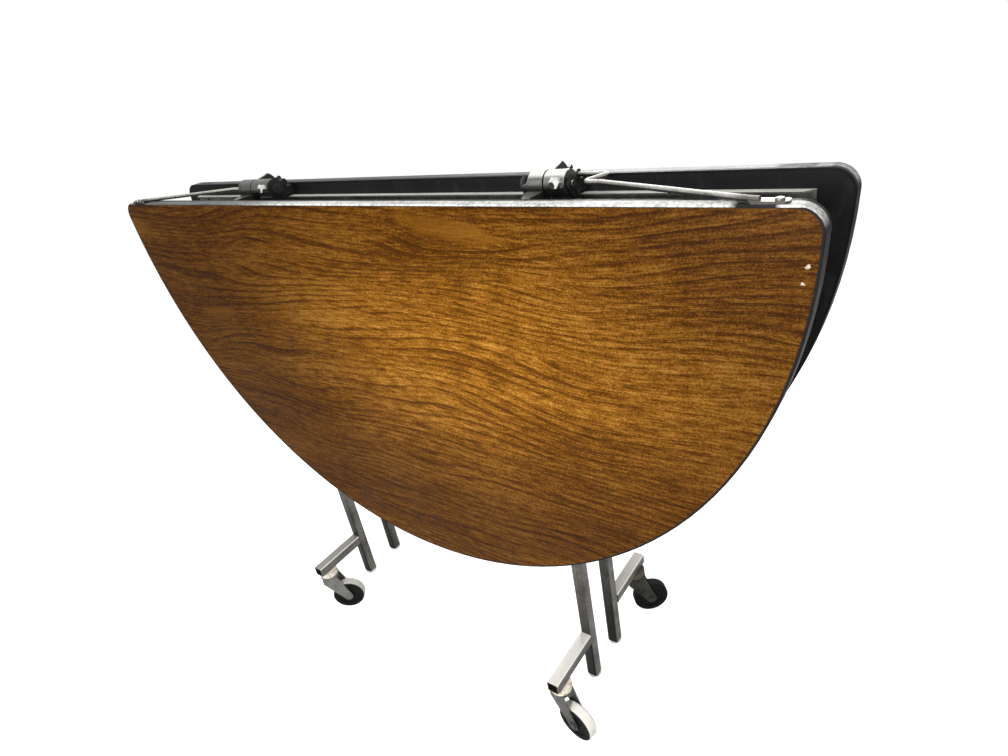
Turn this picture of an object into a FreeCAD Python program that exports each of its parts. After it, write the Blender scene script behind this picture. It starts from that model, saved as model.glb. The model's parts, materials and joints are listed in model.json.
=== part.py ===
import FreeCAD, Part
import math
import os

V = FreeCAD.Vector
X_AXIS, Y_AXIS, Z_AXIS = V(1, 0, 0), V(0, 1, 0), V(0, 0, 1)

# Folding round table on casters, folded. Millimetres, +Z up, origin on the floor under the middle.
# +X runs along the straight edges, the front half hangs at -Y and the rear half at +Y.

# half-round tops
top_radius = 533.4            # outside of the edge band
board_thickness = 19.0        # with its laminate
laminate_thickness = 1.0
band_depth = 2.6
band_round = 0.9
corner_radius = 22.0          # outside, where the straight edge meets the curve
tongue_depth = 8.0
tongue_thickness = 1.8
tongue_clearance = 0.15
inner_face_offset = 47.3      # middle plane to the underside of a half

# hinge line
pivot_height = 739.8
edge_drop = 3.0               # straight edge below the hinge axis
pin_radius = 6.0
running_clearance = 0.06
end_clearance = 0.4
pin_head_radius = 7.5
pin_head_length = 3.0
hinge_plate_x = 226.4         # inner face of the right hinge plate
left_plate_inset = 20.0       # left hinge plate further in than the right one
hinge_plate_thickness = 3.0
hinge_plate_head = 8.8
front_hub_length = 24.3       # inner barrel on the right
rear_hub_length = 24.1        # outer barrel on the right
left_front_hub_length = 29.6  # outer barrel on the left
hub_ring_gap = 1.8
hub_radius = 13.7
hub_end_wall = 4.0            # closed outer end of each outer barrel
hub_notch = 7.0               # step on the inner end of the right front barrel
hub_lug_below = 4.5           # lug left beside that step, below the axis
hub_flange_thickness = 5.0
hub_flange_half_width = 25.0
rear_foot_shift = 11.0        # rear casting's foot left of its barrel's ring end
hub_flange_rail_gap = 0.5     # foot's lower edge above the rail
hub_flange_above = 5.0        # foot's upper edge below the axis
hub_arm_below = 18.0
hub_screw_spacing = 32.0
front_foot_shift = 9.0        # front casting's foot starts left of the ring's middle
fin_rise = 17.8               # peak of the plate beside the ring, above the axis
fin_y = 19.0
fin_thickness = 4.5
fin_bump_rise = 9.9
fin_bump_y = 37.0
bolt_across_flats = 11.0
bolt_head_height = 6.0
bolt_shank_radius = 3.0
bolt_from_ring = 16.4
left_bolt_from_ring = 31.0
bolt_tilt = 14.0              # degrees, head turned up from level

# torsion rods
rod_radius = 2.7
rod_arm_length = 35.5         # hinge axis to the short end
rod_out = 27.2                # barrel end to where the rod crosses onto the front half
rod_split_gap = 0.3
rod_elbow_radius = 6.0
rod_back = 13.0               # barrel end to where the rod comes back to the axis
rod_socket_depth = 10.0
rod_boss_radius = 5.8
rod_boss_length = 8.0         # boss past the peaked plate
rod_edge_gap = 0.2            # under the rod where it passes over the front edge
rod_tab_gap = 43.4            # outside radius to the middle of a tab
rod_tab_out = 2.5             # tab's middle outside the middle of the edge
rod_tab_length = 32.0
rod_tab_width = 11.0
rod_tab_thickness = 2.4

# rails and catch
rail_end_gap = 32.4           # outside radius to the end of a rail
rail_thickness = 1.8
rail_height = 12.5
rail_width = 10.0
rail_drop = 18.3              # rail top below the straight edge
rail_end_cut = 9.0
catch_x = 68.0
catch_width = 40.0
catch_height = 22.0
catch_slot_rise = 8.0
catch_slot_half = 8.0
catch_slot_radius = 3.0

# screws
screw_head_radius = 3.8
screw_head_height = 1.8
screw_shank_radius = 2.0
screw_bite = 11.0
hub_screw_bite = 7.0           # short of the tongue in the straight edge

# legs
leg_side_gap = 6.5            # hinge plate to leg
leg_y = 34.0
tube_size = 17.0
tube_wall = 1.5
tube_round = 2.0
leg_round = 3.6
leg_pivot_drop = 44.8         # leg pivot below the hinge axis
leg_head = 8.0                # tube above its pivot
leg_swing = 20.0              # degrees
pivot_rod_radius = 4.0
rod_head_radius = 6.5
rod_head_length = 2.6
glide_height = 13.0           # glide above the floor when folded
glide_base = 6.0
glide_radius = 9.6
glide_plug = 16.0
crossbar_height = 300.0       # middle of the lower crossbar
arm_top = 108.0
arm_end_y = 136.0

# centre frame
beam_half_width = 10.0
beam_top_drop = 74.8
beam_height = 25.0
beam_wall = 2.0

# links
link_arm = 60.0               # leg pivot to link pin
link_thickness = 3.0
link_width = 9.0
link_pin_radius = 2.5
link_pin_head = 3.8
link_side_gap = 1.5           # hub end to link
link_eye_play = 1.1           # upper eye around its pin
link_eye_radius = 6.4
link_foot_radius = 7.4

# casters
caster_y = 117.5
wheel_radius = 28.0
wheel_width = 16.0
wheel_round = 3.0
wheel_dish_depth = 1.6
wheel_dish_radius = 18.5
wheel_boss_radius = 8.0
trail = 22.0
axle_radius = 3.5
axle_head_radius = 5.5
axle_head_length = 1.6
fork_thickness = 2.0
fork_side_gap = 1.0
fork_top_half_length = 15.0
fork_tip_radius = 8.0
cup_radius = 15.5
cup_height = 10.5
stem_radius = 4.5
stem_up = 13.0
stem_head_radius = 7.5
stem_head_height = 3.0
swivel_front_left = 40.0      # degrees from +X, where each wheel trails at rest
swivel_front_right = -10.0
swivel_rear_left = 20.0
swivel_rear_right = 42.0

# sizes that follow from the above
wood_radius = top_radius - band_depth
edge_top = pivot_height - edge_drop
circle_height = edge_top - band_depth
outer_face = inner_face_offset + board_thickness
hub_start = hinge_plate_x + hinge_plate_thickness + end_clearance
hub_end = hub_start + front_hub_length + hub_ring_gap + rear_hub_length
right_ring = hub_start + front_hub_length + hub_ring_gap / 2
left_ring = -(hub_end - left_front_hub_length - hub_ring_gap / 2)
left_hub_start = hub_start - left_plate_inset
leg_pivot_height = pivot_height - leg_pivot_drop
link_pin_height = leg_pivot_height - link_arm
link_x = hub_end + link_side_gap
leg_x = hinge_plate_x + hinge_plate_thickness + leg_side_gap + tube_size / 2
rail_half_length = top_radius - rail_end_gap
rod_tab_x = top_radius - rod_tab_gap
rod_tab_y = inner_face_offset + board_thickness / 2 + rod_tab_out
rod_split_x = hub_end + rod_out
rod_back_x = hub_end + rod_back
arm_bottom = arm_top - tube_size
leg_bottom = glide_height + glide_base
rail_top = edge_top - rail_drop
leg_outer_x = leg_x + tube_size / 2
leg_inner_x = leg_x - tube_size / 2
flange_low = rail_top + hub_flange_rail_gap
flange_high = pivot_height - hub_flange_above


def link_pin_offset():
    """How far a link pin sits inside the axis, so that its link is as long folded as open."""
    swing = math.radians(leg_swing)
    down = leg_pivot_drop + link_arm
    out_open = leg_y + link_arm * math.sin(swing)
    down_open = leg_pivot_drop + link_arm * math.cos(swing)
    return (out_open ** 2 + down_open ** 2 - leg_y ** 2 - down ** 2) / (2 * (leg_y + down_open))


pin_offset = link_pin_offset()


def box(x0, x1, y0, y1, z0, z1):
    x0, x1 = sorted((x0, x1))
    y0, y1 = sorted((y0, y1))
    z0, z1 = sorted((z0, z1))
    return Part.makeBox(x1 - x0, y1 - y0, z1 - z0, V(x0, y0, z0))


def rod(start, end, radius):
    way = end - start
    return Part.makeCylinder(radius, way.Length, start, way)


def rod_x(x0, x1, y, z, radius):
    x0, x1 = sorted((x0, x1))
    return Part.makeCylinder(radius, x1 - x0, V(x0, y, z), X_AXIS)


def joined(shapes):
    solid = shapes[0].fuse(shapes[1:]).removeSplitter()
    return solid.Solids[0] if len(solid.Solids) == 1 else solid


def prism(points, way):
    face = Part.Face(Part.makePolygon(points + [points[0]]))
    return face.extrude(way)


def round_along(shape, axis, radius):
    edges = []
    for edge in shape.Edges:
        if isinstance(edge.Curve, Part.Line) and abs(edge.Curve.Direction.dot(axis)) > 0.999:
            edges.append(edge)
    return shape.makeFillet(radius, edges)


def square_tube(x0, x1, y0, y1, z0, z1, axis, corner=tube_round):
    outer = round_along(box(x0, x1, y0, y1, z0, z1), axis, corner)
    low = V(min(x0, x1), min(y0, y1), min(z0, z1))
    high = V(max(x0, x1), max(y0, y1), max(z0, z1))
    wall = V(tube_wall, tube_wall, tube_wall) - axis * (2 * tube_wall)
    low, high = low + wall, high - wall
    inner = box(low.x, high.x, low.y, high.y, low.z, high.z)
    return outer.cut(round_along(inner, axis, max(corner - tube_wall, 0.3)))


def bent_rod(points, radii, radius):
    """One rod along straight runs joined by tangent arcs."""
    edges = []
    here = points[0]
    for before, corner, after, bend in zip(points, points[1:], points[2:], radii):
        back = (before - corner).normalize()
        ahead = (after - corner).normalize()
        half = math.acos(max(-1.0, min(1.0, back.dot(ahead)))) / 2
        reach = bend / math.tan(half)
        start, end = corner + back * reach, corner + ahead * reach
        middle_way = (back + ahead).normalize()
        middle = corner + middle_way * (bend / math.sin(half) - bend)
        edges.append(Part.LineSegment(here, start).toShape())
        edges.append(Part.Arc(start, middle, end).toShape())
        here = end
    edges.append(Part.LineSegment(here, points[-1]).toShape())
    path = Part.Wire(edges)
    circle = Part.Wire([Part.makeCircle(radius, points[0], points[1] - points[0])])
    return path.makePipeShell([circle], True, False)


def half_round(radius, straight, corner, y0, y1):
    """Half-round slab: straight edge up, corners rounded, between two y planes."""
    reach = radius - corner
    level = straight - corner
    side = math.sqrt(reach ** 2 - level ** 2)
    scale = radius / reach
    foot = V(side * scale, y0, circle_height + level * scale)
    top = V(side, y0, circle_height + straight)
    way = V(side, 0, level).normalize()
    turn = (way + Z_AXIS).normalize()
    middle = V(side, y0, circle_height + level) + turn * corner
    flip = lambda p: V(-p.x, p.y, p.z)
    edges = [
        Part.LineSegment(flip(top), top).toShape(),
        Part.Arc(top, middle, foot).toShape(),
        Part.Arc(foot, V(0, y0, circle_height - radius), flip(foot)).toShape(),
        Part.Arc(flip(foot), flip(middle), flip(top)).toShape(),
    ]
    return Part.Face(Part.Wire(edges)).extrude(V(0, y1 - y0, 0))


def wood_slab(y0, y1, inset=0.0):
    return half_round(wood_radius - inset, -inset, corner_radius - band_depth - min(inset, 1.0), y0, y1)


def mirrored(shape):
    return shape.mirror(V(0, 0, 0), Y_AXIS)


def screw(head_at, way, bite):
    """Pan-head screw: head_at is the middle of the head's seat, way points out of the head."""
    head = Part.makeCylinder(screw_head_radius, screw_head_height, head_at, way)
    top = [e for e in head.Edges if (e.CenterOfMass - head_at).dot(way) > screw_head_height * 0.9]
    head = head.makeFillet(screw_head_height * 0.45, top)
    shank = Part.makeCylinder(screw_shank_radius, bite, head_at, way * -1)
    return joined([head, shank])


# ---- half-round tops, built for the rear half and mirrored for the front half ----

def tongue_slab(clearance):
    middle = inner_face_offset + (board_thickness - laminate_thickness) / 2
    half = tongue_thickness / 2 + clearance
    outside = wood_slab(middle - half, middle + half)
    return outside.cut(wood_slab(middle - half, middle + half, tongue_depth + clearance))


def board():
    slab = wood_slab(inner_face_offset, outer_face - laminate_thickness)
    return slab.cut(tongue_slab(tongue_clearance))


def laminate():
    return wood_slab(outer_face - laminate_thickness, outer_face)


def edge_band():
    outside = half_round(top_radius, band_depth, corner_radius, inner_face_offset, outer_face)
    rims = [e for e in outside.Edges if e.BoundBox.YLength < 0.001]
    outside = outside.makeFillet(band_round, rims)
    ring = outside.cut(wood_slab(inner_face_offset - 1, outer_face + 1))
    return joined([ring, tongue_slab(0.0)])


def rail():
    y0 = inner_face_offset - rail_width
    flange = box(-rail_half_length, rail_half_length, inner_face_offset - rail_thickness,
                 inner_face_offset, rail_top - rail_height, rail_top)
    lip = prism([
        V(-rail_half_length, inner_face_offset, rail_top),
        V(rail_half_length, inner_face_offset, rail_top),
        V(rail_half_length - rail_end_cut, y0, rail_top),
        V(-rail_half_length + rail_end_cut, y0, rail_top)], V(0, 0, -rail_thickness))
    return joined([flange, lip])


def rail_screws():
    z = rail_top - rail_thickness - (rail_height - rail_thickness) / 2
    y = inner_face_offset - rail_thickness
    spots = (-0.95, -0.72, -0.3, -0.04, 0.01, 0.3, 0.72, 0.95)
    return [screw(V(rail_half_length * s, y, z), V(0, -1, 0), screw_bite) for s in spots]


def catch_plate():
    y = inner_face_offset - rail_thickness
    top = rail_top - rail_thickness
    plate = box(catch_x - catch_width / 2, catch_x + catch_width / 2, y - 1.6, y, top - catch_height, top)
    z = top - catch_height + catch_slot_rise
    x0, x1 = catch_x - catch_slot_half, catch_x + catch_slot_half
    ends = [rod(V(x, y - 5, z), V(x, y + 5, z), catch_slot_radius) for x in (x0, x1)]
    middle = box(x0, x1, y - 5, y + 5, z - catch_slot_radius, z + catch_slot_radius)
    return plate.cut(ends + [middle])


# ---- hinge castings ----

def hub_flange(x_middle):
    """Foot of a casting on the underside of the rear half."""
    foot = box(x_middle - hub_flange_half_width, x_middle + hub_flange_half_width,
               inner_face_offset - hub_flange_thickness, inner_face_offset, flange_low, flange_high)
    return round_along(foot, Y_AXIS, 3.0)


def hub_screws(x_middle):
    z = (flange_low + flange_high) / 2
    y = inner_face_offset - hub_flange_thickness
    return [screw(V(x_middle + s * hub_screw_spacing / 2, y, z), V(0, -1, 0),
                  hub_screw_bite + hub_flange_thickness) for s in (-1, 1)]


def rear_barrel_end(ring_x):
    return hub_end if ring_x > 0 else -left_hub_start


def rear_hub(ring_x):
    """Rear casting: barrel right of the ring, arm to the rear half, peaked plate beside the ring."""
    x0 = ring_x + hub_ring_gap / 2
    x1 = rear_barrel_end(ring_x)
    low, high = pivot_height - hub_arm_below, flange_high
    inner = inner_face_offset
    arm = prism([V(x0, 0, low), V(x1, 0, low), V(x1, 14, low), V(x0 + 16, 24, low), V(x0 + 12.5, 32, low),
                 V(x0 + 14, inner, low), V(x0 - 12, inner, low), V(x0 - 6, 32, low), V(x0, 20, low)],
                V(0, 0, high - low))
    dip = (fin_y + fin_bump_y) / 2 + 3
    outline = [(-3, hub_radius - 0.9), (fin_y - 4, fin_rise - 1.6), (fin_y - 1.2, fin_rise - 0.2),
               (fin_y, fin_rise), (fin_y + 2.0, fin_rise - 1.0), (fin_y + 6, fin_rise - 4.4),
               (dip - 2.5, fin_bump_rise - 0.9), (dip, fin_bump_rise - 1.9), (dip + 2.5, fin_bump_rise - 1.4),
               (fin_bump_y - 0.8, fin_bump_rise - 0.2), (fin_bump_y, fin_bump_rise),
               (fin_bump_y + 1.3, fin_bump_rise - 1.2), (fin_bump_y + 2.4, fin_bump_rise - 6.2),
               (inner - 4, -1.5), (inner, -hub_flange_above), (inner, -hub_flange_above - 7),
               (4, -12), (0, 0)]
    plate = prism([V(fin_x(ring_x), y, pivot_height + z) for y, z in outline], V(fin_thickness, 0, 0))
    return [rod_x(x0, x1, 0, pivot_height, hub_radius), arm, plate]


def fin_x(ring_x):
    return ring_x + hub_ring_gap / 2 + 1.0


def socket_start(ring_x, side):
    """Where a torsion rod's short end starts, inside its socket beside the peaked plate."""
    if side > 0:
        return fin_x(ring_x) + fin_thickness + rod_boss_length - rod_socket_depth
    return fin_x(ring_x) + rod_socket_depth


def rear_casting(ring_x, socket_side):
    x0 = ring_x + hub_ring_gap / 2
    x1 = rear_barrel_end(ring_x)
    bore = rod_x(x0 - 1, x1 + (1 if socket_side < 0 else -hub_end_wall), 0, pivot_height, pin_radius)
    flange_x = rear_flange_x(ring_x)
    inside, past = fin_x(ring_x), fin_x(ring_x) + fin_thickness + rod_boss_length
    boss = rod_x(inside, past, rod_arm_length, pivot_height, rod_boss_radius)
    brace = box(inside, past, rod_arm_length - 3, rod_arm_length + 3, flange_high - 6, pivot_height)
    pieces = rear_hub(ring_x) + [hub_flange(flange_x), boss, brace]
    mouth = past + 1 if socket_side > 0 else inside - 1
    socket = rod_x(mouth, socket_start(ring_x, socket_side), rod_arm_length, pivot_height, rod_radius)
    bolt = rod(V(bolt_x(ring_x), -hub_radius - 1, pivot_height), V(bolt_x(ring_x), 0, pivot_height),
               bolt_shank_radius)
    half = bolt_across_flats / math.sqrt(3) + 0.3
    seat = box(bolt_x(ring_x) - half, bolt_x(ring_x) + half, -hub_radius - 9, -hub_radius + 0.8,
               pivot_height - half, pivot_height + half)
    cuts = [bore, socket, tilted(bolt), tilted(seat)]
    return joined(pieces).cut(cuts + hub_screws(flange_x))


def tilted(shape):
    """Turned about the hinge axis, so that a set bolt's head looks slightly up."""
    turned = shape.copy()
    turned.rotate(V(0, 0, pivot_height), X_AXIS, -bolt_tilt)
    return turned


def rear_flange_x(ring_x):
    return ring_x + hub_ring_gap / 2 - rear_foot_shift


def front_flange_x(ring_x):
    # kept left of the rear casting's plate, which turns past it
    return ring_x - front_foot_shift + hub_flange_half_width


def front_casting(ring_x, side):
    """Front casting: barrel left of the ring, scalloped arm towards the front half."""
    x1 = ring_x - hub_ring_gap / 2
    x0 = hub_start if side > 0 else -hub_end
    low, high = pivot_height - hub_arm_below, flange_high
    inner = -inner_face_offset
    middle = front_flange_x(ring_x)
    start = middle - hub_flange_half_width + 1
    arm = prism([V(x0 + 5, 0, low), V(x0 + 5, -14, low), V(x0 + 6, -20, low), V(x1 - 14.5, -27, low),
                 V(x1 - 12, -34, low), V(start, inner + 5, low), V(start, inner, low),
                 V(x1 + 1.2, inner, low), V(x1 + 1.2, inner + 5, low), V(x1, -36, low), V(x1, 0, low)],
                V(0, 0, high - low))
    flange = mirrored(hub_flange(middle))
    barrel = rod_x(x0, x1, 0, pivot_height, hub_radius)
    closed = x0 + hub_end_wall if side < 0 else x0 - 1
    bore = rod_x(closed, x1 + 1, 0, pivot_height, pin_radius + running_clearance)
    cuts = [bore] + [mirrored(s) for s in hub_screws(middle)]
    if side > 0:
        top = hub_radius + 1
        upper = ((-1, 1.4), (hub_notch * 0.3, 2.4), (hub_notch * 0.75, 3.6), (hub_notch * 0.9, 6.5),
                 (hub_notch, top), (-1, top))
        foot = -hub_lug_below
        lower = ((-1, foot), (hub_notch * 0.4, foot - 1.2), (hub_notch * 0.7, foot - 3.5),
                 (hub_notch * 0.7, -top), (-1, -top))
        for profile in (upper, lower):
            points = [V(x0 + x, -top, pivot_height + z) for x, z in profile]
            cuts.append(prism(points, V(0, 2 * top, 0)))
    return joined([barrel, arm, flange]).cut(cuts)


def link_pin(side, body):
    """Pin for a link, cast on the closed outer end of a casting."""
    tip = link_x + link_thickness + end_clearance
    y = -side * pin_offset
    shaft = rod_x(side * (hub_end - 1), side * tip, y, pivot_height, link_pin_radius)
    head = rod_x(side * tip, side * (tip + 1.4), y, pivot_height, link_pin_head)
    return joined([body, shaft, head])


def bolt_x(ring_x):
    return ring_x + (bolt_from_ring if ring_x > 0 else left_bolt_from_ring)


def set_bolt(ring_x):
    seat = -hub_radius + 0.8
    corner = bolt_across_flats / math.sqrt(3)
    points = [V(bolt_x(ring_x) + corner * math.cos(math.radians(a)), seat,
                pivot_height + corner * math.sin(math.radians(a))) for a in range(0, 360, 60)]
    head = prism(points, V(0, -bolt_head_height, 0))
    shank = rod(V(bolt_x(ring_x), seat, pivot_height), V(bolt_x(ring_x), -pin_radius - 0.3, pivot_height),
                bolt_shank_radius)
    return tilted(joined([head, shank]))


def plate_x(side):
    return hinge_plate_x if side > 0 else hinge_plate_x - left_plate_inset


def hinge_pin(side):
    inner = plate_x(side) - end_clearance
    head = rod_x(side * (inner - pin_head_length), side * inner, 0, pivot_height, pin_head_radius)
    shaft = rod_x(side * inner, side * (hub_end - hub_end_wall - end_clearance), 0, pivot_height, pin_radius)
    return joined([head, shaft])


# ---- torsion rods ----

def rod_arm(side, start_x):
    """Rear end of a torsion rod: from its socket outwards, then back to the hinge axis."""
    z = pivot_height
    points = [V(start_x, rod_arm_length, z), V(side * (rod_split_x), rod_arm_length, z),
              V(side * rod_back_x, 0, z), V(side * rod_split_x, 0, z)]
    bends = [rod_elbow_radius, rod_elbow_radius]
    return bent_rod(points, bends, rod_radius)


def rod_shaft(side):
    """Front end of a torsion rod: from the hinge axis out to its flat tab on the front edge."""
    z = pivot_height
    on_edge = edge_top + rod_radius
    start = side * (rod_split_x + rod_split_gap)
    tab_start = rod_tab_x - rod_tab_length / 2
    over_edge = rod_tab_y - 1
    rise = (on_edge + rod_edge_gap - z) * over_edge / inner_face_offset
    points = [V(start, 0, z), V(side * (rod_split_x + 6), 0, z), V(side * tab_start, -over_edge, z + rise),
              V(side * (tab_start + 9), -rod_tab_y, on_edge)]
    shaft = bent_rod(points, [18.0, 12.0], rod_radius)
    tab = box(side * tab_start, side * (tab_start + rod_tab_length), -rod_tab_y - rod_tab_width / 2,
              -rod_tab_y + rod_tab_width / 2, edge_top, edge_top + rod_tab_thickness)
    tab = round_along(tab, Z_AXIS, rod_tab_width * 0.35)
    return joined([shaft, tab])


def rod_screw(side):
    at = V(side * (rod_tab_x + rod_tab_length / 4), -rod_tab_y, edge_top + rod_tab_thickness)
    return screw(at, Z_AXIS, screw_bite)


# ---- centre frame ----

def hinge_plate(side):
    x = side * plate_x(side)
    foot = pivot_height - beam_top_drop - beam_height
    wide = leg_y + 8.0
    arm_high = leg_pivot_height + 9.0
    points = []
    for y, z in ((hinge_plate_head, pivot_height), (hinge_plate_head, arm_high + 10),
                 (wide - 3, arm_high), (wide, arm_high - 4), (wide, leg_pivot_height - 7),
                 (beam_half_width + 4, foot + beam_height + 6), (beam_half_width + 4, foot)):
        points.append((y, z))
    outline = [V(x, y, z) for y, z in points] + [V(x, -y, z) for y, z in reversed(points)]
    way = V(side * hinge_plate_thickness, 0, 0)
    head = rod_x(x, x + way.x, 0, pivot_height, hinge_plate_head)
    plate = joined([prism(outline, way), head])
    bores = [rod_x(x - 9, x + 9, 0, pivot_height, pin_radius + running_clearance)]
    bores += [rod_x(x - 9, x + 9, s * leg_y, leg_pivot_height, pivot_rod_radius) for s in (-1, 1)]
    return plate.cut(bores)


def centre_beam():
    top = pivot_height - beam_top_drop
    foot = top - beam_height
    outer = box(-plate_x(-1), plate_x(1), -beam_half_width, beam_half_width, foot, top)
    w = beam_wall
    inner = box(-plate_x(-1), plate_x(1), -beam_half_width + w, beam_half_width - w, foot + w, top - w)
    return round_along(outer, X_AXIS, 2.5).cut(inner)


def pivot_rod():
    """Rod that both legs of the rear frame turn on, with collars beside the hinge plates."""
    end = leg_outer_x + end_clearance
    pieces = [rod_x(-end, end, leg_y, leg_pivot_height, pivot_rod_radius)]
    for side in (-1, 1):
        plate_out = plate_x(side) + hinge_plate_thickness
        pieces.append(rod_x(side * plate_out, side * (leg_inner_x - end_clearance), leg_y, leg_pivot_height,
                            rod_head_radius))
        pieces.append(rod_x(side * end, side * (end + rod_head_length), leg_y, leg_pivot_height,
                            rod_head_radius))
    return joined(pieces)


# ---- leg frames, built for the rear and mirrored for the front ----

def leg(side):
    x0, x1 = side * leg_x - tube_size / 2, side * leg_x + tube_size / 2
    y0, y1 = leg_y - tube_size / 2, leg_y + tube_size / 2
    tube = square_tube(x0, x1, y0, y1, leg_bottom, leg_pivot_height + leg_head, Z_AXIS,
                       leg_round)
    bores = [rod_x(x0 - 1, x1 + 1, leg_y, leg_pivot_height, pivot_rod_radius + running_clearance),
             rod_x(x0 - 1, x1 + 1, leg_y, link_pin_height, pivot_rod_radius)]
    return tube.cut(bores)


def glide(side):
    base = Part.makeCylinder(glide_radius, glide_base, V(side * leg_x, leg_y, glide_height))
    rim = [e for e in base.Edges if e.CenterOfMass.z < glide_height + 0.1]
    base = base.makeFillet(glide_base * 0.5, rim)
    half = tube_size / 2 - tube_wall - 0.3
    plug = box(side * leg_x - half, side * leg_x + half, leg_y - half, leg_y + half,
               leg_bottom, leg_bottom + glide_plug)
    return joined([base, round_along(plug, Z_AXIS, max(leg_round - tube_wall, 0.5))])


def arm(side):
    x0, x1 = side * leg_x - tube_size / 2, side * leg_x + tube_size / 2
    tube = square_tube(x0, x1, leg_y + tube_size / 2, arm_end_y, arm_bottom, arm_top, Y_AXIS)
    return tube.cut(rod(V(side * leg_x, caster_y, arm_bottom - 1),
                        V(side * leg_x, caster_y, arm_bottom + tube_wall + 1), stem_radius))


def crossbar():
    half = tube_size / 2
    return square_tube(-leg_inner_x, leg_inner_x, leg_y - half, leg_y + half,
                       crossbar_height - half, crossbar_height + half, X_AXIS)


def spreader_rod(link_side):
    """Rod through both legs of the rear frame; its long end carries the link."""
    near = -link_side * (leg_outer_x + end_clearance)
    far = link_side * (link_x + link_thickness + end_clearance)
    pieces = [rod_x(near, far, leg_y, link_pin_height, pivot_rod_radius),
              rod_x(near, near - link_side * rod_head_length, leg_y, link_pin_height, rod_head_radius),
              rod_x(far, far + link_side * rod_head_length, leg_y, link_pin_height, rod_head_radius)]
    return joined(pieces)


def link(side):
    """Link of the rear frame, from the spreader rod up to the pin on the casting."""
    x0 = side * link_x
    way = V(side * link_thickness, 0, 0)
    foot = V(x0, leg_y, link_pin_height)
    head = V(x0, -pin_offset, pivot_height)
    along = (head - foot).normalize()
    across = X_AXIS.cross(along)
    half = link_width / 2
    web = prism([foot + across * half, foot - across * half, head - across * half, head + across * half], way)
    eyes = [Part.makeCylinder(link_foot_radius, link_thickness, foot, way),
            Part.makeCylinder(link_eye_radius, link_thickness, head, way)]
    holes = [Part.makeCylinder(pivot_rod_radius + running_clearance, link_thickness * 3, foot - way, way),
             Part.makeCylinder(link_pin_radius + link_eye_play, link_thickness * 3, head - way, way)]
    return joined([web] + eyes).cut(holes)


# ---- casters, built with the stem on the Z axis and the wheel trailing along +X ----

def placed(shape, x, y, angle):
    turned = shape.copy()
    turned.rotate(V(0, 0, 0), Z_AXIS, angle)
    turned.translate(V(x, y, 0))
    return turned


def caster_stem():
    cup_bottom = arm_bottom - cup_height
    cup = Part.makeCylinder(cup_radius, cup_height, V(0, 0, cup_bottom))
    low = [e for e in cup.Edges if e.CenterOfMass.z < cup_bottom + 0.1]
    cup = cup.makeFillet(2.2, low)
    fork_top = cup_bottom - end_clearance
    foot = fork_top - fork_thickness - end_clearance
    stem = Part.makeCylinder(stem_radius, arm_bottom + stem_up - foot, V(0, 0, foot))
    head = Part.makeCylinder(stem_head_radius, stem_head_height, V(0, 0, foot - stem_head_height))
    return joined([cup, stem, head])


def caster_fork():
    top = arm_bottom - cup_height - end_clearance
    half = wheel_width / 2 + fork_side_gap
    outside = half + fork_thickness
    reach = fork_top_half_length
    plate = box(-reach, reach, -outside, outside, top - fork_thickness, top)
    plate = round_along(plate, Z_AXIS, 5.0)
    plate = plate.cut(Part.makeCylinder(stem_radius + running_clearance, 20, V(0, 0, top - 10)))
    axle_z = wheel_radius
    cheek_top = top - fork_thickness
    points = [V(-reach + 3, 0, cheek_top), V(reach - 3, 0, cheek_top), V(reach, 0, cheek_top - 8),
              V(trail + fork_tip_radius - 0.6, 0, axle_z + 3), V(trail, 0, axle_z - fork_tip_radius),
              V(trail - fork_tip_radius + 0.6, 0, axle_z - 3), V(-reach + 1.5, 0, cheek_top - 12)]
    cheeks = []
    for y in (half, -outside):
        cheek = prism([p + V(0, y, 0) for p in points], V(0, fork_thickness, 0))
        tip = rod(V(trail, y, axle_z), V(trail, y + fork_thickness, axle_z), fork_tip_radius)
        cheeks += [cheek, tip]
    axle = rod(V(trail, -outside, axle_z), V(trail, outside, axle_z), axle_radius)
    heads = [rod(V(trail, s * outside, axle_z), V(trail, s * (outside + axle_head_length), axle_z),
                 axle_head_radius) for s in (-1, 1)]
    return joined([plate] + cheeks + [axle] + heads)


def caster_wheel():
    half = wheel_width / 2
    body = rod(V(trail, -half, wheel_radius), V(trail, half, wheel_radius), wheel_radius)
    rims = [e for e in body.Edges if e.BoundBox.YLength < 0.01]
    body = body.makeFillet(wheel_round, rims)
    cuts = [rod(V(trail, -half - 1, wheel_radius), V(trail, half + 1, wheel_radius),
                axle_radius + running_clearance)]
    for side in (-1, 1):
        face = side * half
        deep = side * (half - wheel_dish_depth)
        dish = rod(V(trail, deep, wheel_radius), V(trail, face + side, wheel_radius), wheel_dish_radius)
        boss = rod(V(trail, deep, wheel_radius), V(trail, face, wheel_radius), wheel_boss_radius)
        cuts.append(dish.cut(boss))
    return body.cut(cuts)


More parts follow.
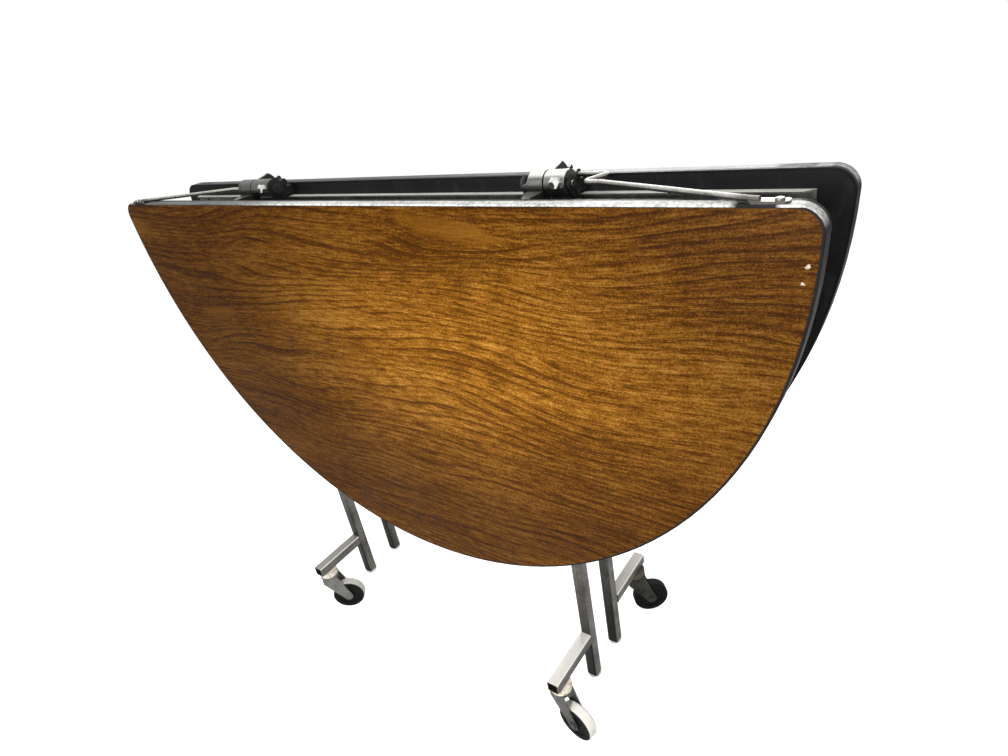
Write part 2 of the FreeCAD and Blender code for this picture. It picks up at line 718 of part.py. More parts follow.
def build():
    nodes = {}
    rear_screws = rail_screws()
    rear_fixings = rear_screws + hub_screws(rear_flange_x(right_ring)) + hub_screws(rear_flange_x(left_ring))
    front_seats = hub_screws(front_flange_x(right_ring)) + hub_screws(front_flange_x(left_ring))
    front_fixings = [mirrored(s) for s in rear_screws + front_seats]
    front_fixings += [rod_screw(1), rod_screw(-1)]

    nodes["rear_board"] = board().cut(rear_fixings)
    nodes["rear_laminate"] = laminate()
    nodes["rear_edge_band"] = edge_band()
    nodes["rear_rail"] = rail().cut(rear_fixings)
    nodes["rear_screws"] = Part.makeCompound(rear_fixings)
    nodes["front_board"] = mirrored(board()).cut(front_fixings)
    nodes["front_laminate"] = mirrored(laminate())
    nodes["front_edge_band"] = mirrored(edge_band()).cut(front_fixings)
    nodes["front_rail"] = mirrored(rail()).cut(front_fixings)
    nodes["front_screws"] = Part.makeCompound(front_fixings)
    nodes["catch_plate"] = catch_plate()

    nodes["rear_casting_right"] = link_pin(1, rear_casting(right_ring, 1))
    nodes["rear_casting_left"] = rear_casting(left_ring, -1)
    nodes["front_casting_right"] = front_casting(right_ring, 1)
    nodes["front_casting_left"] = link_pin(-1, front_casting(left_ring, -1))
    nodes["set_bolt_right"] = set_bolt(right_ring)
    nodes["set_bolt_left"] = set_bolt(left_ring)
    nodes["hinge_pin_right"] = hinge_pin(1)
    nodes["hinge_pin_left"] = hinge_pin(-1)
    nodes["rod_arm_right"] = rod_arm(1, socket_start(right_ring, 1))
    nodes["rod_arm_left"] = rod_arm(-1, socket_start(left_ring, -1))
    cut_right = rod_screw(1)
    cut_left = rod_screw(-1)
    nodes["rod_shaft_right"] = rod_shaft(1).cut(cut_right)
    nodes["rod_shaft_left"] = rod_shaft(-1).cut(cut_left)

    nodes["hinge_plate_right"] = hinge_plate(1)
    nodes["hinge_plate_left"] = hinge_plate(-1)
    nodes["centre_beam"] = centre_beam()
    nodes["rear_pivot_rod"] = pivot_rod()
    nodes["front_pivot_rod"] = mirrored(pivot_rod())

    for name, side in (("left", -1), ("right", 1)):
        nodes["rear_leg_" + name] = leg(side)
        nodes["front_leg_" + name] = mirrored(leg(side))
        nodes["rear_glide_" + name] = glide(side)
        nodes["front_glide_" + name] = mirrored(glide(side))
        nodes["rear_arm_" + name] = arm(side)
        nodes["front_arm_" + name] = mirrored(arm(side))
    nodes["rear_crossbar"] = crossbar()
    nodes["front_crossbar"] = mirrored(crossbar())
    nodes["rear_spreader_rod"] = spreader_rod(1)
    nodes["front_spreader_rod"] = mirrored(spreader_rod(-1))
    nodes["rear_link"] = link(1)
    nodes["front_link"] = mirrored(link(-1))

    casters = (("front_left", -1, -1, swivel_front_left), ("front_right", 1, -1, swivel_front_right),
               ("rear_left", -1, 1, swivel_rear_left), ("rear_right", 1, 1, swivel_rear_right))
    for name, sx, sy, angle in casters:
        at = (sx * leg_x, sy * caster_y)
        nodes[name + "_stem"] = placed(caster_stem(), at[0], at[1], 0)
        nodes[name + "_fork"] = placed(caster_fork(), at[0], at[1], angle)
        nodes[name + "_wheel"] = placed(caster_wheel(), at[0], at[1], angle)
    return nodes


os.makedirs("parts", exist_ok=True)
for node, shape in build().items():
    shape.exportStep("parts/" + node + ".step")
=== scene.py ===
"""Folding room service table: looks, lamps and camera around the CAD nodes.

Places are in metres, in the part's frame.
"""
import json

import bpy
from mathutils import Matrix, Vector


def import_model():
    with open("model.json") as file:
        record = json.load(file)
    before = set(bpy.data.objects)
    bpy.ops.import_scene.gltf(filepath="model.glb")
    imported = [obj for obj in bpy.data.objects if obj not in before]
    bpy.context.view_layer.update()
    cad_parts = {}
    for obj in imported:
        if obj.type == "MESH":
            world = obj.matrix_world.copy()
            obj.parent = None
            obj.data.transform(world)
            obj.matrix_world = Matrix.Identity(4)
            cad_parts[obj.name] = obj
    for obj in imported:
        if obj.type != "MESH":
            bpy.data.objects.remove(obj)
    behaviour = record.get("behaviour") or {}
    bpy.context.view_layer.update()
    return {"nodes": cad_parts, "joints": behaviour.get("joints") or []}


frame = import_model()
NODES = frame["nodes"]
SCENE = bpy.context.scene


# ---------------------------------------------------------------- camera

# fitted to the outline in the photograph
CAMERA_AT = (0.634638, -0.579839, 0.886415)
CAMERA_RIGHT = (0.806702, 0.567951, -0.163288)
CAMERA_DOWN = (0.152278, -0.466758, -0.871177)
CAMERA_AHEAD = (-0.571002, 0.677915, -0.463021)
SENSOR_MM = 36.0
LENS_MM = 23.499


def camera():
    data = bpy.data.cameras.new("photo_camera")
    data.sensor_fit = "HORIZONTAL"
    data.sensor_width = SENSOR_MM
    data.lens = LENS_MM
    data.clip_start = 0.01
    obj = bpy.data.objects.new("photo_camera", data)
    SCENE.collection.objects.link(obj)
    turn = Matrix((Vector(CAMERA_RIGHT), -Vector(CAMERA_DOWN), -Vector(CAMERA_AHEAD)))
    obj.matrix_world = Matrix.Translation(Vector(CAMERA_AT)) @ turn.transposed().to_4x4()
    SCENE.camera = obj


# ---------------------------------------------------------------- node graphs

def rgba(value):
    """A colour given as three numbers gets its alpha; a socket passes as it is."""
    return (*value, 1) if isinstance(value, tuple) else value


def darker(colour, factor):
    return tuple(c * factor for c in colour)


class Graph:
    """A material's nodes, with short calls for the ones used here."""

    def __init__(self, name, rough=0.5, metal=0.0, spec=0.5):
        self.mat = bpy.data.materials.new(name)
        self.mat.use_nodes = True
        self.tree = self.mat.node_tree
        self.tree.nodes.clear()
        self.bsdf = self.new("ShaderNodeBsdfPrincipled")
        self.put(self.new("ShaderNodeOutputMaterial").inputs[0], self.bsdf.outputs[0])
        self.bsdf.inputs["Roughness"].default_value = rough
        self.bsdf.inputs["Metallic"].default_value = metal
        self.bsdf.inputs["Specular IOR Level"].default_value = spec
        self.pos = self.new("ShaderNodeTexCoord").outputs["Object"]

    def new(self, kind):
        return self.tree.nodes.new(kind)

    def put(self, socket, value):
        """Links a socket, or sets a value; None leaves the input as it is."""
        if isinstance(value, bpy.types.NodeSocket):
            self.tree.links.new(value, socket)
        elif value is not None:
            socket.default_value = value

    def math(self, op, a, b=None):
        n = self.new("ShaderNodeMath")
        n.operation = op
        self.put(n.inputs[0], a)
        self.put(n.inputs[1], b)
        return n.outputs[0]

    def add(self, total, *more):
        for value in more:
            total = self.math("ADD", total, value)
        return total

    def times(self, product, *more):
        for value in more:
            product = self.math("MULTIPLY", product, value)
        return product

    def less(self, a, b):
        return self.math("SUBTRACT", a, b)

    def absolute(self, a):
        return self.math("ABSOLUTE", a)

    def vmath(self, op, a, b=None, out="Vector"):
        n = self.new("ShaderNodeVectorMath")
        n.operation = op
        self.put(n.inputs[0], a)
        self.put(n.inputs[1], b)
        return n.outputs[out]

    def axes(self, vector=None):
        n = self.new("ShaderNodeSeparateXYZ")
        self.put(n.inputs[0], vector or self.pos)
        return n.outputs

    def normal(self):
        """The three parts of the surface's direction in the part's frame."""
        turn = self.new("ShaderNodeVectorTransform")
        turn.vector_type = "NORMAL"
        turn.convert_from, turn.convert_to = "WORLD", "OBJECT"
        self.put(turn.inputs[0], self.new("ShaderNodeNewGeometry").outputs["Normal"])
        return self.axes(turn.outputs[0])

    def mapped(self, scale=(1, 1, 1), vector=None, move=(0, 0, 0)):
        n = self.new("ShaderNodeMapping")
        self.put(n.inputs["Vector"], vector or self.pos)
        n.inputs["Scale"].default_value = scale
        n.inputs["Location"].default_value = move
        return n.outputs[0]

    def noise(self, scale, detail=3.0, rough=0.5, distortion=0.0, vector=None):
        n = self.new("ShaderNodeTexNoise")
        self.put(n.inputs["Vector"], vector or self.pos)
        n.inputs["Scale"].default_value = scale
        n.inputs["Detail"].default_value = detail
        n.inputs["Roughness"].default_value = rough
        n.inputs["Distortion"].default_value = distortion
        return n.outputs[0]

    def stretched(self, scale, detail, rough=0.5, distortion=0.0, vector=None):
        """Noise with its own scale along each axis."""
        return self.noise(1.0, detail, rough, distortion, self.mapped(scale, vector))

    def span(self, value, low, high, to_low=0.0, to_high=1.0):
        """Remaps a value, clamped, with a smooth step."""
        n = self.new("ShaderNodeMapRange")
        n.interpolation_type = "SMOOTHSTEP"
        self.put(n.inputs["Value"], value)
        n.inputs["From Min"].default_value = low
        n.inputs["From Max"].default_value = high
        n.inputs["To Min"].default_value = to_low
        n.inputs["To Max"].default_value = to_high
        return n.outputs[0]

    def ramp(self, fac, stops):
        n = self.new("ShaderNodeValToRGB")
        self.put(n.inputs[0], fac)
        band = n.color_ramp
        while len(band.elements) > 1:
            band.elements.remove(band.elements[-1])
        band.elements[0].position = stops[0][0]
        band.elements[0].color = rgba(stops[0][1])
        for at, colour in stops[1:]:
            band.elements.new(at).color = rgba(colour)
        return n.outputs[0]

    def mix(self, fac, a, b, blend="MIX"):
        n = self.new("ShaderNodeMix")
        n.data_type = "RGBA"
        n.blend_type = blend
        # the node keeps a set of inputs and outputs for each kind of data: these are the colours
        self.put(n.inputs[0], fac)
        self.put(n.inputs[6], rgba(a))
        self.put(n.inputs[7], rgba(b))
        return n.outputs[2]

    def colour(self, value):
        self.put(self.bsdf.inputs["Base Color"], value)

    def rough(self, value):
        self.put(self.bsdf.inputs["Roughness"], value)

    def bump(self, height, strength, distance=0.0003):
        n = self.new("ShaderNodeBump")
        n.inputs["Strength"].default_value = strength
        n.inputs["Distance"].default_value = distance
        self.put(n.inputs["Height"], height)
        self.put(self.bsdf.inputs["Normal"], n.outputs[0])


def dress(material, *names):
    for name in names:
        slots = NODES[name].data.materials
        slots.clear()
        slots.append(material)


# ---------------------------------------------------------------- laminate, band and board

LINES_PER_METRE = 96.0
LINES_OF_FIGURE = 9.5
FINE_PER_LINE = 3.3
SLOW_WAVE = 0.075
QUICK_WAVE = 0.0035
WOOD_TONES = [(0.0, (0.080, 0.026, 0.0012)), (0.28, (0.165, 0.059, 0.0032)),
              (0.52, (0.255, 0.099, 0.0070)), (0.76, (0.345, 0.149, 0.0165)),
              (1.0, (0.49, 0.240, 0.048))]
PORE = (0.040, 0.015, 0.001)
CHIPPED = (0.66, 0.50, 0.38)
# middle of the part of the face without painted shade, and how far it reaches along X and Z
UNSHADED_X, UNSHADED_Z = 0.14, 0.545
UNSHADED_REACH_X, UNSHADED_REACH_Z = 0.46, 0.25


def laminate(name, shift, chips, rim_shade_colour):
    """Printed wood grain along X: growth lines, fibres, dark pores and a few golden figures."""
    g = Graph(name, spec=0.05)
    flat = g.mapped(move=shift)
    # slow waves lift and lower the whole grain, quick ones make it restless
    slow = g.stretched((1.9, 0.2, 2.6), 1.5, vector=flat)
    quick = g.stretched((11.0, 0.2, 30.0), 2.0, vector=flat)
    rise = g.new("ShaderNodeCombineXYZ")
    g.put(rise.inputs[2], g.add(g.times(slow, SLOW_WAVE), g.times(quick, QUICK_WAVE)))
    bent = g.vmath("ADD", flat, rise.outputs[0])
    _, _, height = g.axes(bent)
    # growth lines: nearly level, closing into long ovals where the figure is strong
    figure = g.stretched((2.6, 0.3, 12.0), 1.0, 0.4, vector=bent)
    count = g.add(g.times(height, LINES_PER_METRE), g.times(figure, LINES_OF_FIGURE))
    part = g.math("FRACT", count)
    line = g.times(g.span(part, 0.45, 0.93), g.span(part, 1.0, 0.96))
    strength = g.stretched((3.0, 1.0, 38.0), 1.0, vector=g.mapped(vector=bent, move=(7.7, 0, 2.9)))
    line = g.times(line, g.span(strength, 0.34, 0.62, 0.25, 1.0))
    fine = g.math("FRACT", g.times(count, FINE_PER_LINE))
    fine = g.times(g.span(fine, 0.2, 0.8), g.span(fine, 1.0, 0.86))
    # fibres, pores and patches
    streak = g.stretched((3.6, 1.0, 60.0), 3.0, 0.55, 0.1, bent)
    fibre = g.stretched((34.0, 1.0, 300.0), 3.0, 0.7, vector=bent)
    pores = g.stretched((110.0, 1.0, 620.0), 2.0, 0.6, vector=bent)
    speck = g.noise(640.0, 2.0, 0.8)
    broad = g.stretched((2.6, 0.2, 9.0), 2.0, vector=bent)
    patch = g.stretched((4.2, 0.4, 17.0), 1.0, 0.4, 0.1, g.mapped(vector=bent, move=(3.1, 0, 1.7)))
    golden = g.span(patch, 0.66, 0.73, 0.0, 0.85)
    # everything restless is weaker in the golden figures
    restless = g.add(g.times(g.less(fibre, 0.5), 0.95), g.times(g.less(speck, 0.5), 0.95))
    restless = g.less(restless, g.times(line, 0.21))
    restless = g.less(restless, g.times(fine, 0.07))
    lively = g.less(1.0, g.times(golden, 0.8))
    tone = g.add(g.times(streak, 0.34), g.times(broad, 0.52), g.times(restless, lively),
                 g.times(golden, 0.10))
    wood = g.ramp(g.span(tone, 0.07, 0.71), WOOD_TONES)
    dash = g.times(g.span(pores, 0.58, 0.70), g.span(streak, 0.66, 0.42), g.less(1.0, golden))
    wood = g.mix(g.times(dash, 0.45), wood, PORE)
    # painted shade: the face darkens and reddens towards the curve, as the light falls off there
    x, _, z = g.axes()
    dx = g.math("DIVIDE", g.less(x, UNSHADED_X), UNSHADED_REACH_X)
    dz = g.math("DIVIDE", g.less(z, UNSHADED_Z), UNSHADED_REACH_Z)
    away = g.math("SQRT", g.add(g.times(dx, dx), g.times(dz, dz)))
    wood = g.mix(g.span(away, 0.0, 1.0), wood, rim_shade_colour, "MULTIPLY")
    for at, radius in chips:
        away = g.vmath("DISTANCE", g.pos, at, out="Value")
        ragged = g.add(away, g.times(g.noise(420.0, 2.0), 0.006))
        wood = g.mix(g.span(ragged, radius + 0.0036, radius + 0.0022), wood, CHIPPED)
    g.colour(wood)
    g.rough(g.add(g.times(fibre, 0.14), g.span(g.noise(9.0), 0.3, 0.7, 0.32, 0.44)))
    g.bump(g.add(fibre, g.times(speck, 0.5)), 0.12)
    return g.mat


BAND_OUTER_Y = (0.0520, 0.0545)
BAND_WORN_FROM_Z = (0.690, 0.722)
BAND_TOP_Z = (0.7347, 0.7352)
TAB_INNER_X = (0.460, 0.468)
TAB_OUTER_X = (0.500, 0.496)


def band_material():
    """Rubber edge band: rubbed pale on top of the straight edge, dark elsewhere."""
    g = Graph("band_rubber", spec=0.06)
    x, y, z = g.axes()
    _, ny, nz = g.normal()
    rim = g.times(g.span(z, *BAND_TOP_Z), g.span(nz, -0.1, 0.0))
    upward = g.math("MAXIMUM", g.span(nz, 0.12, 0.55), rim)
    # the front edge is rubbed from its middle to the right, the rear one only at its right end
    front = g.span(x, -0.26, -0.06, 0.20, 0.92)
    rear = g.span(x, -0.1, 0.52, 0.12, 0.60)
    level = g.mix(g.span(y, -0.01, 0.01), front, rear)
    # a strip along the outer side, kept black at the flat ends of the torsion rods: unrubbed where
    # they cover it, and painted shadow of the ends beside them
    side = g.absolute(x)
    tab_cover_and_shadow = g.times(g.span(side, *TAB_INNER_X), g.span(side, *TAB_OUTER_X))
    strip = g.times(g.span(g.absolute(y), *BAND_OUTER_Y), g.less(1.0, tab_cover_and_shadow))
    blotch = g.stretched((16.0, 90.0, 60.0), 4.0, 0.62)
    rubbed = g.times(strip, g.span(blotch, 0.30, 0.56, 0.55, 1.0))
    worn = g.times(g.times(upward, g.span(z, *BAND_WORN_FROM_Z), level), rubbed)
    fleck = g.noise(260.0, 4.0, 0.75)
    pale = g.mix(g.span(fleck, 0.34, 0.62), (0.34, 0.34, 0.33), (0.84, 0.84, 0.81))
    black = g.mix(g.noise(60.0), (0.006, 0.006, 0.0065), (0.020, 0.019, 0.019))
    scuff = g.times(g.span(g.noise(38.0, 4.0, 0.65, vector=g.mapped((1, 3, 1))), 0.62, 0.74), 0.35)
    curve = g.span(g.absolute(ny), 0.85, 0.35)
    g.colour(g.mix(worn, g.mix(g.times(scuff, curve), black, (0.15, 0.147, 0.143)), pale))
    g.rough(g.span(fleck, 0.3, 0.7, 0.36, 0.52))
    g.bump(fleck, 0.12)
    return g.mat


def board_material():
    """Black backing with dust."""
    g = Graph("black_backing", spec=0.12)
    mottle = g.noise(7.0, 5.0, 0.6)
    dust = g.span(g.noise(26.0, 5.0, 0.7, vector=g.mapped((1, 1, 0.35))), 0.50, 0.75)
    black = g.mix(mottle, (0.008, 0.008, 0.009), (0.020, 0.019, 0.020))
    g.colour(g.mix(g.times(dust, 0.35), black, (0.075, 0.073, 0.07)))
    g.rough(g.span(mottle, 0.3, 0.7, 0.5, 0.7))
    g.bump(g.noise(500.0), 0.12)
    return g.mat


# ---------------------------------------------------------------- metal

RUST = (0.20, 0.085, 0.03)
TOP_FADE = 0.004


def metal(name, dark, light, rough=(0.3, 0.5), along=(1, 1, 1), metallic=1.0, specks=0.4,
          rust=0.0, bump=0.12, spec=0.5, front=None, under=None, top=None, top_from=None,
          edges=None, inside=None):
    """Worn metal: patchy tone, fine streaks along one axis, dark specks and a little rust.

    front is a colour painted as shade on faces turned to -Y, with the heights between which it
    fades out. under and top are the colours of faces turned down and up, painted shade and painted
    light, top only above the height top_from. edges and inside are functions that return a mask and
    its colour.
    """
    g = Graph(name, metal=metallic, spec=spec)
    blot = g.noise(28.0, 4.0, 0.62)
    streak = g.stretched(along, 4.0, 0.6)
    tone = g.add(g.times(blot, 0.55), g.times(streak, 0.45),
                 g.times(g.less(g.noise(380.0, 3.0, 0.7), 0.5), 0.5))
    col = g.mix(g.span(tone, 0.34, 0.66), dark, light)
    pit = g.noise(620.0, 2.0, 0.7)
    col = g.mix(g.times(g.span(pit, 0.62, 0.75), specks), col, darker(dark, 0.35))
    _, ny, nz = g.normal()
    # painted shade on faces turned to -Y
    if front:
        shade, low, high = front
        col = g.mix(g.times(g.span(ny, -0.45, -0.85), g.span(g.axes()[2], high, low)), col, shade)
    # painted shade on faces turned down
    if under:
        col = g.mix(g.span(nz, 0.35, -0.25), col, under)
    # painted light on faces turned up
    if top:
        lit = g.span(nz, 0.50, 0.90)
        if top_from:
            lit = g.times(lit, g.span(g.axes()[2], top_from, top_from + TOP_FADE))
        grain = g.span(g.noise(900.0, 3.0, 0.8), 0.30, 0.60)
        col = g.mix(lit, col, g.mix(grain, darker(top, 0.74), top))
    if edges:
        where, shade = edges(g)
        col = g.mix(where, col, shade)
    if rust:
        where = g.times(g.span(g.noise(95.0, 5.0, 0.7), 0.58, 0.70), rust)
        col = g.mix(where, col, RUST)
    if inside:
        where, shade = inside(g)
        col = g.mix(where, col, shade)
    g.colour(col)
    g.rough(g.span(tone, 0.3, 0.7, rough[1], rough[0]))
    g.bump(g.add(g.times(pit, 0.5), streak), bump)
    return g.mat


# middle line of the square arms: distance from the YZ plane, and height
ARM_X, ARM_Z = 0.2444, 0.0995


def arm_bore_shade(g):
    """Inside of the square arms, painted dark as shade, with a rust-brown tint."""
    x, _, z = g.axes()
    dx = g.absolute(g.less(g.absolute(x), ARM_X))
    dz = g.absolute(g.less(z, ARM_Z))
    return g.span(g.math("MAXIMUM", dx, dz), 0.0078, 0.0072), (0.022, 0.015, 0.012)


def arm_edge_highlights(g):
    """The two upper edges of the square arms, painted bright as highlights."""
    x, _, z = g.axes()
    dx = g.absolute(g.less(g.absolute(x), ARM_X))
    return g.span(g.add(dx, g.less(z, ARM_Z)), 0.0150, 0.0160, 0.0, 0.9), (0.95, 0.94, 0.88)


BOLT_SHADE_CENTRES = ((0.2682, -0.0183, 0.7409), (-0.2217, -0.0183, 0.7409))


def bolt_head_shade(g):
    """Dark lower left side of each set bolt's head, painted shade as a dark disc."""
    near = [g.vmath("DISTANCE", g.pos, at, out="Value") for at in BOLT_SHADE_CENTRES]
    return g.span(g.math("MINIMUM", *near), 0.0050, 0.0038), (0.02, 0.02, 0.02)


def tab_tone_and_shade(g):
    """Flat ends of the torsion rods at the corners of the front half, dark brown: partly their own
    dull colour, partly painted shade.
    """
    x, _, _ = g.axes()
    return g.span(g.absolute(x), 0.455, 0.475, 0.0, 0.78), (0.045, 0.040, 0.030)


# ---------------------------------------------------------------- casters and glides

TREAD_RADIUS = (0.0256, 0.0269)
TREAD_HALF_WIDTH = (0.0078, 0.0062)
WHEEL_DUST = 0.25


def wheel_material(name, centre, axle, tread):
    """Black wheel with a pale tread: bands by distance from the axle."""
    g = Graph(name, spec=0.03)
    arm = g.vmath("SUBTRACT", g.pos, centre)
    across = g.absolute(g.vmath("DOT_PRODUCT", arm, axle, out="Value"))
    out = g.vmath("LENGTH", g.vmath("CROSS_PRODUCT", arm, axle), out="Value")
    on_tread = g.times(g.span(out, *TREAD_RADIUS), g.span(across, *TREAD_HALF_WIDTH))
    mottled = g.noise(160.0, 4.0, 0.65)
    black = g.mix(g.noise(90.0), (0.004, 0.004, 0.0045), (0.014, 0.014, 0.0145))
    black = g.mix(g.times(g.span(mottled, 0.54, 0.74), WHEEL_DUST), black, (0.10, 0.095, 0.09))
    pale = g.mix(mottled, darker(tread, 0.72), tread)
    g.colour(g.mix(g.times(on_tread, g.span(mottled, 0.18, 0.40, 0.7, 1.0)), black, pale))
    g.rough(g.span(mottled, 0.3, 0.7, 0.42, 0.66))
    g.bump(mottled, 0.2, 0.0004)
    return g.mat


def cup_material(name, low, high, rusty):
    """Painted swivel cup, yellowed and rusting through."""
    g = Graph(name, spec=0.2)
    blot = g.noise(120.0, 4.0, 0.65)
    rust = g.span(g.noise(110.0, 5.0, 0.7), 0.50, 0.62)
    g.colour(g.mix(g.times(rust, rusty), g.mix(blot, low, high), (0.26, 0.12, 0.045)))
    g.rough(g.span(blot, 0.3, 0.7, 0.42, 0.6))
    g.bump(blot, 0.2, 0.0004)
    return g.mat


def glide_material():
    """White nylon, scuffed."""
    g = Graph("glide_nylon", rough=0.35)
    g.bsdf.inputs["Subsurface Weight"].default_value = 0.35
    g.bsdf.inputs["Subsurface Radius"].default_value = (0.004, 0.004, 0.0035)
    g.bsdf.inputs["Subsurface Scale"].default_value = 1.0
    scuff = g.span(g.noise(150.0, 4.0, 0.7), 0.5, 0.7)
    g.colour(g.mix(scuff, (0.88, 0.88, 0.86), (0.58, 0.56, 0.52)))
    g.bump(scuff, 0.15)
    return g.mat


# ---------------------------------------------------------------- stage

WORLD_LIGHT = 0.36
FLOOR_GLOW = 0.71
FLOOR_GREY = 0.80
FLOOR_SIZE = 120.0
WHITE = (1, 1, 1, 1)


def world():
    """Plain light of its own; seen directly, in mirrors or through glass it is white."""
    studio = bpy.data.worlds.new("studio")
    SCENE.world = studio
    studio.use_nodes = True
    nodes, links = studio.node_tree.nodes, studio.node_tree.links
    nodes.clear()
    path = nodes.new("ShaderNodeLightPath")
    indirect = nodes.new("ShaderNodeMath")
    indirect.operation = "MAXIMUM"
    links.new(path.outputs["Is Glossy Ray"], indirect.inputs[0])
    links.new(path.outputs["Is Transmission Ray"], indirect.inputs[1])
    seen = nodes.new("ShaderNodeMath")
    seen.operation = "MAXIMUM"
    links.new(path.outputs["Is Camera Ray"], seen.inputs[0])
    links.new(indirect.outputs[0], seen.inputs[1])
    mix = nodes.new("ShaderNodeMixShader")
    links.new(seen.outputs[0], mix.inputs[0])
    for slot, strength in ((1, WORLD_LIGHT), (2, 1.0)):
        plain = nodes.new("ShaderNodeBackground")
        plain.inputs[0].default_value = WHITE
        plain.inputs[1].default_value = strength
        links.new(plain.outputs[0], mix.inputs[slot])
    links.new(mix.outputs[0], nodes.new("ShaderNodeOutputWorld").inputs[0])


def lay_floor():
    """Pale floor that takes shadows, lifted to white where the camera sees it."""
    bpy.ops.mesh.primitive_plane_add(size=FLOOR_SIZE, location=(0, 0, 0))
    floor = bpy.context.object
    floor.name = "floor"
    pale = bpy.data.materials.new("floor_pale")
    pale.use_nodes = True
    nodes, links = pale.node_tree.nodes, pale.node_tree.links
    nodes.clear()
    flat = nodes.new("ShaderNodeBsdfDiffuse")
    flat.inputs[0].default_value = (FLOOR_GREY, FLOOR_GREY, FLOOR_GREY, 1)
    power = nodes.new("ShaderNodeMath")
    power.operation = "MULTIPLY"
    power.inputs[1].default_value = FLOOR_GLOW
    links.new(nodes.new("ShaderNodeLightPath").outputs["Is Camera Ray"], power.inputs[0])
    glow = nodes.new("ShaderNodeEmission")
    glow.inputs[0].default_value = WHITE
    links.new(power.outputs[0], glow.inputs[1])
    both = nodes.new("ShaderNodeAddShader")
    links.new(flat.outputs[0], both.inputs[0])
    links.new(glow.outputs[0], both.inputs[1])
    links.new(both.outputs[0], nodes.new("ShaderNodeOutputMaterial").inputs[0])
    floor.data.materials.append(pale)


def lamp(name, at, target, side, power):
    """Square area lamp aimed at a point."""
    data = bpy.data.lights.new(name, "AREA")
    data.shape = "RECTANGLE"
    data.size = data.size_y = side
    data.energy = power
    obj = bpy.data.objects.new(name, data)
    SCENE.collection.objects.link(obj)
    obj.location = at
    obj.rotation_euler = (Vector(target) - Vector(at)).to_track_quat("-Z", "Y").to_euler()


# ---------------------------------------------------------------- tops

CHIPS = [((0.5218, -0.0663, 0.6891), 0.0016), ((0.5188, -0.0663, 0.675), 0.0009)]
dress(laminate("laminate_front", (0, 0, 0), CHIPS, (0.33, 0.29, 0.22)), "front_laminate")
dress(laminate("laminate_rear", (2.3, 0, 0.9), [], (0.62, 0.58, 0.52)), "rear_laminate")
dress(band_material(), "front_edge_band", "rear_edge_band")
dress(board_material(), "front_board", "rear_board")

# ---------------------------------------------------------------- legs, arms and rails

# the legs' faces turned to -Y are painted shade, darkest low down by the arms and fading out upwards
dress(metal("tube_upright", (0.055, 0.053, 0.046), (0.20, 0.19, 0.17), along=(90, 90, 3),
            rough=(0.26, 0.46), rust=0.12, metallic=0.6, spec=0.3,
            front=((0.012, 0.011, 0.009), 0.07, 0.30)),
      "front_leg_left", "front_leg_right", "rear_leg_left", "rear_leg_right")
# the right front arm catches the light in the photograph, the others are dull on top
ARM_TOPS = (("front_arm_right", (0.98, 0.96, 0.90)), ("front_arm_left", (0.34, 0.33, 0.30)),
            ("rear_arm_right", (0.36, 0.34, 0.31)), ("rear_arm_left", (0.36, 0.34, 0.31)))
# each arm's top colour is painted light and its underside colour painted shade
for node, lit_top_colour in ARM_TOPS:
    dress(metal("tube_" + node, (0.15, 0.147, 0.132), (0.42, 0.41, 0.375), along=(90, 3, 90),
                rust=0.15, specks=0.6, metallic=0.35, spec=0.3, top=lit_top_colour,
                under=(0.03, 0.029, 0.026), edges=arm_edge_highlights, inside=arm_bore_shade), node)
dress(metal("tube_cross", (0.06, 0.058, 0.05), (0.25, 0.24, 0.215), along=(3, 90, 90)),
      "front_crossbar", "rear_crossbar")
# the rails' faces turned up are painted light, near white
dress(metal("rail_zinc", (0.10, 0.098, 0.09), (0.30, 0.29, 0.27), along=(3, 60, 60), rust=0.25,
            metallic=0.3, spec=0.3, top=(0.86, 0.85, 0.80)),
      "front_rail", "rear_rail", "catch_plate")

# ---------------------------------------------------------------- hinge line

# the castings' faces turned up above this height are painted light and their faces turned down
# painted shade
CASTING_TOP_Z = 0.740
dress(metal("casting_iron", (0.045, 0.046, 0.042), (0.27, 0.27, 0.25), along=(40, 40, 40),
            rough=(0.2, 0.42), rust=0.1, bump=0.4, metallic=0.6, spec=0.4,
            top=(0.80, 0.80, 0.76), top_from=CASTING_TOP_Z, under=(0.022, 0.023, 0.020)),
      "rear_casting_right", "front_casting_right")
# the left castings are the same iron painted in shade: every tone darker, with dim painted light on
# top
dress(metal("casting_iron_shaded", (0.022, 0.021, 0.019), (0.10, 0.098, 0.09), along=(40, 40, 40),
            rough=(0.26, 0.46), rust=0.1, bump=0.4, metallic=0.4, spec=0.25,
            top=(0.12, 0.118, 0.11), top_from=CASTING_TOP_Z, under=(0.016, 0.015, 0.014)),
      "rear_casting_left", "front_casting_left")
# the set bolts' faces turned down are painted shade, and a dark spot on each head is painted shade
dress(metal("bolt_bright", (0.50, 0.50, 0.49), (0.92, 0.92, 0.90), along=(60, 60, 60),
            rough=(0.2, 0.36), metallic=0.5, specks=0.9, under=(0.10, 0.10, 0.095),
            inside=bolt_head_shade),
      "set_bolt_right", "set_bolt_left")
dress(metal("screw_dull", (0.10, 0.10, 0.09), (0.34, 0.33, 0.30), along=(60, 60, 60),
            rough=(0.26, 0.44), metallic=0.8),
      "front_screws", "rear_screws")
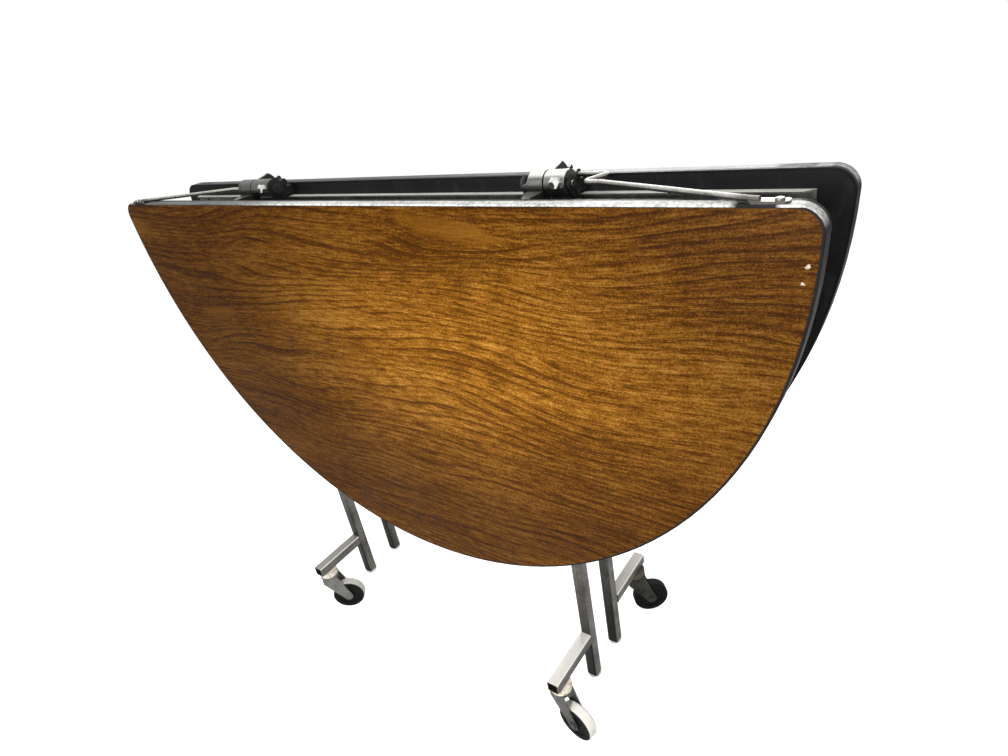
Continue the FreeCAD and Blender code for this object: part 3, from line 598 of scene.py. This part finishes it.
# the rods' faces turned up are painted light, their faces turned down painted shade, and their flat
# ends partly painted shade
dress(metal("rod_dark", (0.12, 0.117, 0.105), (0.40, 0.39, 0.355), along=(5, 80, 80),
            rough=(0.2, 0.4), rust=0.2, metallic=0.5, top=(0.62, 0.61, 0.56),
            under=(0.035, 0.034, 0.030), inside=tab_tone_and_shade),
      "rod_arm_right", "rod_arm_left", "rod_shaft_right", "rod_shaft_left")
dress(metal("pin_steel", (0.012, 0.012, 0.012), (0.05, 0.05, 0.05), along=(5, 80, 80),
            rough=(0.3, 0.45), metallic=0.2, spec=0.15),
      "hinge_pin_right", "hinge_pin_left")
dress(metal("shaft_steel", (0.10, 0.10, 0.10), (0.30, 0.30, 0.29), along=(5, 80, 80),
            rough=(0.25, 0.4)),
      "rear_pivot_rod", "front_pivot_rod", "rear_spreader_rod", "front_spreader_rod")
dress(metal("black_paint", (0.006, 0.006, 0.006), (0.022, 0.022, 0.022), along=(30, 30, 30),
            rough=(0.35, 0.55), metallic=0.0, specks=0.0, rust=0.15, spec=0.12),
      "hinge_plate_right", "hinge_plate_left", "centre_beam", "rear_link", "front_link")

# ---------------------------------------------------------------- glides and casters

dress(glide_material(),
      "front_glide_left", "front_glide_right", "rear_glide_left", "rear_glide_right")
# dark and light tone of the fork, dark and light tone of the cup, rust on the cup, tread
CREAM_CASTER = ((0.16, 0.16, 0.15), (0.46, 0.46, 0.43), (0.62, 0.56, 0.45), (0.84, 0.80, 0.71),
                0.5, (0.62, 0.60, 0.56))
CASTERS = {
    "front_left": CREAM_CASTER,
    "rear_left": CREAM_CASTER,
    "front_right": ((0.045, 0.045, 0.04), (0.20, 0.20, 0.18), (0.66, 0.58, 0.44), (0.90, 0.85, 0.74),
                    0.7, (0.95, 0.93, 0.85)),
    # the rear right caster's dark fork, dark cup and black tread are painted shade: the same caster,
    # in shade
    "rear_right": ((0.018, 0.018, 0.016), (0.12, 0.12, 0.105), (0.030, 0.027, 0.020),
                   (0.11, 0.10, 0.075), 0.3, (0.02, 0.02, 0.02)),
}
for joint in frame["joints"]:
    if joint["name"].endswith("_roll"):
        corner = joint["name"][:-len("_roll")]
        dark, light, low, high, rusty, tread = CASTERS[corner]
        centre, axle = tuple(joint["pos_m"]), tuple(joint["axis"])
        dress(wheel_material("wheel_" + corner, centre, axle, tread), corner + "_wheel")
        # the forks' faces turned down are painted shade
        dress(metal("fork_" + corner, dark, light, along=(60, 60, 60), rough=(0.26, 0.46), rust=0.15,
                    specks=0.8, bump=0.3, metallic=0.6, spec=0.3, under=darker(dark, 0.6)),
              corner + "_fork")
        dress(cup_material("cup_" + corner, low, high, rusty), corner + "_stem")

# ---------------------------------------------------------------- putting it together

camera()
world()
lay_floor()
lamp("key", (0.36, -1.10, 0.80), (0.14, 0, 0.50), 0.5, 14.5)
lamp("top", (0.3, -0.2, 2.4), (0, 0, 0.5), 1.4, 25)
lamp("back", (-0.2, 1.5, 1.0), (0, 0, 0.5), 0.8, 13)

SCENE.view_settings.view_transform = "Standard"
